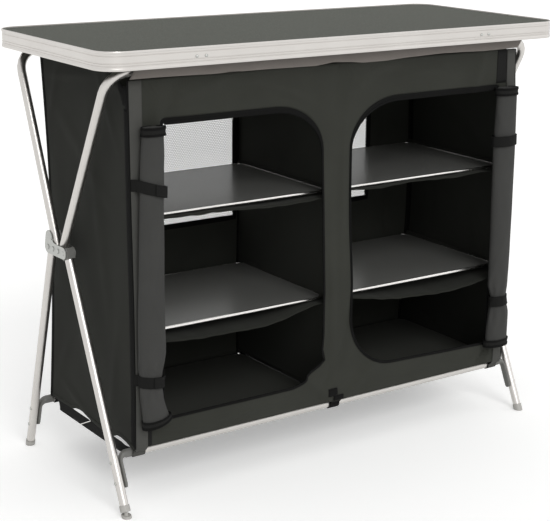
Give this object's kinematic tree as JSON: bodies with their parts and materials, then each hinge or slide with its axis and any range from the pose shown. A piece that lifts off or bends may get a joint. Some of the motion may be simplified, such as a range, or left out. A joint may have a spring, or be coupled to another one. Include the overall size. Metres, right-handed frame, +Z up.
{
  "type": "folding camping kitchen",
  "caption": "Folding camping kitchen: a metal-rimmed worktop on scissor tube legs carries a dark cloth cabinet with paired shelves and rolled-up doors.",
  "frame": {"origin": "on the floor under the middle of the worktop", "axes": "+X to the viewer's right along the long side, +Y to the rear, +Z up"},
  "size_m": [1, 0.413, 0.806],
  "materials": {
    "back_panel": "near-black coated polyester weave",
    "bar_loop_middle": "black webbing",
    "board_floor_left": "smooth dark grey coated board",
    "board_floor_right": "smooth dark grey coated board",
    "board_middle_left": "smooth dark grey coated board",
    "board_middle_right": "smooth dark grey coated board",
    "board_upper_left": "smooth dark grey coated board",
    "board_upper_right": "smooth dark grey coated board",
    "centre_divider": "near-black coated polyester weave",
    "door_roll_left": "dark grey coated polyester weave",
    "door_roll_right": "dark grey coated polyester weave",
    "elbow_front_left": "moulded grey nylon",
    "elbow_front_right": "moulded grey nylon",
    "elbow_rear_left": "moulded grey nylon",
    "elbow_rear_right": "moulded grey nylon",
    "foot_front_left": "pale grey moulded cap",
    "foot_front_right": "pale grey moulded cap",
    "foot_rear_left": "pale grey moulded cap",
    "foot_rear_right": "pale grey moulded cap",
    "front_clip_left": "moulded grey nylon",
    "front_clip_right": "moulded grey nylon",
    "front_panel": "dark grey coated polyester weave",
    "front_pivot_left": "zinc-plated pressed steel",
    "front_pivot_right": "zinc-plated pressed steel",
    "hinge_clamp_left": "moulded grey nylon",
    "hinge_clamp_right": "moulded grey nylon",
    "hub_knuckle_left": "moulded grey nylon",
    "hub_knuckle_right": "moulded grey nylon",
    "hub_plate_inner_left": "zinc-plated pressed steel",
    "hub_plate_inner_right": "zinc-plated pressed steel",
    "hub_plate_outer_left": "zinc-plated pressed steel",
    "hub_plate_outer_right": "zinc-plated pressed steel",
    "hub_rivet_left": "zinc-plated pressed steel",
    "hub_rivet_right": "zinc-plated pressed steel",
    "levelling_foot": "pale grey moulded pad",
    "low_bar_front": "satin drawn tube",
    "low_bar_rear": "satin drawn tube",
    "lower_leg_front_left": "satin drawn tube",
    "lower_leg_front_right": "satin drawn tube",
    "lower_leg_rear_left": "satin drawn tube",
    "lower_leg_rear_right": "satin drawn tube",
    "mesh_window_left": "light insect mesh",
    "mesh_window_right": "light insect mesh",
    "rear_pivot_left": "zinc-plated pressed steel",
    "rear_pivot_right": "zinc-plated pressed steel",
    "side_panel_left": "near-black coated polyester weave",
    "side_panel_right": "near-black coated polyester weave",
    "side_webbing_left": "black webbing",
    "side_webbing_right": "black webbing",
    "sling_floor": "near-black coated polyester weave",
    "sling_middle_left": "near-black coated polyester weave",
    "sling_middle_right": "near-black coated polyester weave",
    "sling_upper_left": "near-black coated polyester weave",
    "sling_upper_right": "near-black coated polyester weave",
    "table_rim": "satin anodised extrusion",
    "tabletop_board": "matt speckled laminate on a thin board",
    "top_band": "grey-brown woven band",
    "upper_frame_front": "satin drawn tube",
    "upper_frame_rear": "satin drawn tube"
  },
  "bodies": {
    "frame": {"upper_frame_rear": "upper_frame_rear", "hub_plate_outer_left": "hub_plate_outer_left", "hub_plate_outer_right": "hub_plate_outer_right", "hub_plate_inner_left": "hub_plate_inner_left", "hub_plate_inner_right": "hub_plate_inner_right", "hub_rivet_left": "hub_rivet_left", "hub_rivet_right": "hub_rivet_right", "front_pivot_left": "front_pivot_left", "front_pivot_right": "front_pivot_right", "rear_pivot_left": "rear_pivot_left", "rear_pivot_right": "rear_pivot_right", "hub_knuckle_left": "hub_knuckle_left", "hub_knuckle_right": "hub_knuckle_right", "lower_leg_front_left": "lower_leg_front_left", "lower_leg_front_right": "lower_leg_front_right", "low_bar_front": "low_bar_front", "elbow_front_left": "elbow_front_left", "elbow_front_right": "elbow_front_right", "foot_front_left": "foot_front_left", "foot_front_right": "foot_front_right", "front_panel": "front_panel", "top_band": "top_band", "side_panel_left": "side_panel_left", "side_panel_right": "side_panel_right", "back_panel": "back_panel", "mesh_window_left": "mesh_window_left", "mesh_window_right": "mesh_window_right", "centre_divider": "centre_divider", "sling_upper_left": "sling_upper_left", "sling_upper_right": "sling_upper_right", "sling_middle_left": "sling_middle_left", "sling_middle_right": "sling_middle_right", "sling_floor": "sling_floor", "door_roll_left": "door_roll_left", "door_roll_right": "door_roll_right", "side_webbing_left": "side_webbing_left", "side_webbing_right": "side_webbing_right", "bar_loop_middle": "bar_loop_middle"},
    "front_upper_frame": {"upper_frame_front": "upper_frame_front"},
    "rear_lower_frame": {"lower_leg_rear_left": "lower_leg_rear_left", "lower_leg_rear_right": "lower_leg_rear_right", "low_bar_rear": "low_bar_rear", "elbow_rear_left": "elbow_rear_left", "elbow_rear_right": "elbow_rear_right", "foot_rear_left": "foot_rear_left", "foot_rear_right": "foot_rear_right"},
    "worktop": {"tabletop_board": "tabletop_board", "table_rim": "table_rim", "front_clip_left": "front_clip_left", "front_clip_right": "front_clip_right", "hinge_clamp_left": "hinge_clamp_left", "hinge_clamp_right": "hinge_clamp_right"},
    "upper_boards": {"board_upper_left": "board_upper_left", "board_upper_right": "board_upper_right"},
    "middle_boards": {"board_middle_left": "board_middle_left", "board_middle_right": "board_middle_right"},
    "floor_boards": {"board_floor_left": "board_floor_left", "board_floor_right": "board_floor_right"},
    "levelling_screw": {"levelling_foot": "levelling_foot"}
  },
  "joints": [
    {"name": "worktop_tilt", "type": "hinge", "parent": "frame", "child": "worktop", "pos_m": [0, 0.1845, 0.7655], "axis": [-1, 0, 0], "range_deg": [0, 100], "deforming": ["front_panel", "top_band", "side_panel_left", "side_panel_right", "back_panel", "mesh_window_left", "mesh_window_right", "centre_divider", "sling_upper_left", "sling_upper_right", "sling_middle_left", "sling_middle_right", "sling_floor", "door_roll_left", "door_roll_right", "side_webbing_left", "side_webbing_right", "bar_loop_middle"]},
    {"name": "front_frame_fold", "type": "hinge", "parent": "frame", "child": "front_upper_frame", "pos_m": [0, 0.0255, 0.429], "axis": [-1, 0, 0], "range_deg": [0, 45]},
    {"name": "rear_legs_fold", "type": "hinge", "parent": "frame", "child": "rear_lower_frame", "pos_m": [0, 0.0645, 0.429], "axis": [-1, 0, 0], "range_deg": [0, 40]},
    {"name": "upper_boards_fold", "type": "hinge", "parent": "frame", "child": "upper_boards", "pos_m": [0, 0.00042, 0.59375], "axis": [1, 0, 0], "range_deg": [0, 67.3]},
    {"name": "middle_boards_fold", "type": "hinge", "parent": "frame", "child": "middle_boards", "pos_m": [0, -0.06455, 0.37707], "axis": [1, 0, 0], "range_deg": [0, 67.3]},
    {"name": "floor_boards_fold", "type": "hinge", "parent": "frame", "child": "floor_boards", "pos_m": [0, -0.12851, 0.17189], "axis": [1, 0, 0], "range_deg": [0, 67.3]},
    {"name": "levelling_screw_out", "type": "slide", "parent": "frame", "child": "levelling_screw", "axis": [0, -0.4208, -0.9072], "range_m": [0, 0.008]}
  ],
  "couplings": [
    {"joint": "front_frame_fold", "follows": "worktop_tilt", "ratio": 0.45},
    {"joint": "rear_legs_fold", "follows": "worktop_tilt", "ratio": 0.4},
    {"joint": "upper_boards_fold", "follows": "worktop_tilt", "ratio": 0.673},
    {"joint": "middle_boards_fold", "follows": "worktop_tilt", "ratio": 0.673},
    {"joint": "floor_boards_fold", "follows": "worktop_tilt", "ratio": 0.673}
  ]
}
